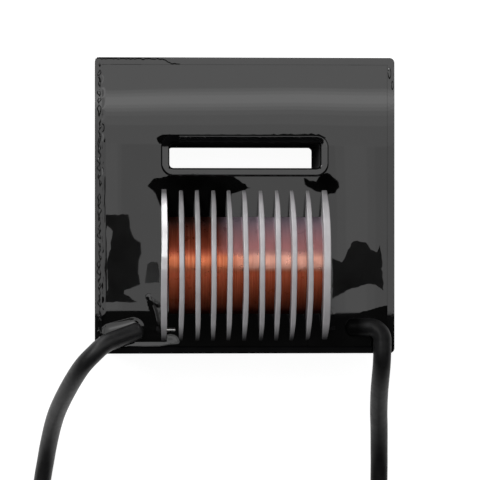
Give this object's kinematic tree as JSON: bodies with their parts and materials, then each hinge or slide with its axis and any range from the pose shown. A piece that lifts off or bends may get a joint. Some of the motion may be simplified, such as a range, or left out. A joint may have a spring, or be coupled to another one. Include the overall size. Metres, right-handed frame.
{
  "type": "potted high voltage transformer",
  "caption": "Square potted step-up transformer with a sectional bobbin bulging out of black resin, a through window for a user-wound primary, and insulated flying leads.",
  "frame": {"origin": "centre of the case's flat back, which it lies on", "axes": "+X to the right in the picture, +Y towards the window's edge of the case, +Z out of the open front face"},
  "size_m": [0.0754, 0.1521, 0.0338],
  "materials": {
    "case": "black moulded plastic, slightly satin",
    "resin": "black cast epoxy, glossy",
    "ferrite": "dark grey sintered ferrite, matt",
    "spacer": "insulating paper",
    "bobbin": "white moulded nylon",
    "copper": "enamelled copper wire, glossy",
    "tin": "tinned copper and solder",
    "lead": "black silicone insulation, satin"
  },
  "bodies": {
    "root": {"case": "case", "potting": "resin", "core_half_left": "ferrite", "core_half_right": "ferrite", "gap_spacer_upper": "spacer", "gap_spacer_lower": "spacer", "bobbin": "bobbin", "winding_01": "copper", "winding_02": "copper", "winding_03": "copper", "winding_04": "copper", "winding_05": "copper", "winding_06": "copper", "winding_07": "copper", "winding_08": "copper", "winding_09": "copper", "winding_10": "copper", "crossover_wires": "copper", "terminal_start": "tin", "terminal_finish": "tin", "joint_start": "tin", "joint_finish": "tin", "lead_left_root": "lead", "lead_left_tail": "tin", "lead_left": "lead", "lead_left_tip": "tin", "lead_right_root": "lead", "lead_right_tail": "tin", "lead_right_bend": "lead", "lead_right": "lead", "lead_right_tip": "tin"}
  },
  "joints": []
}
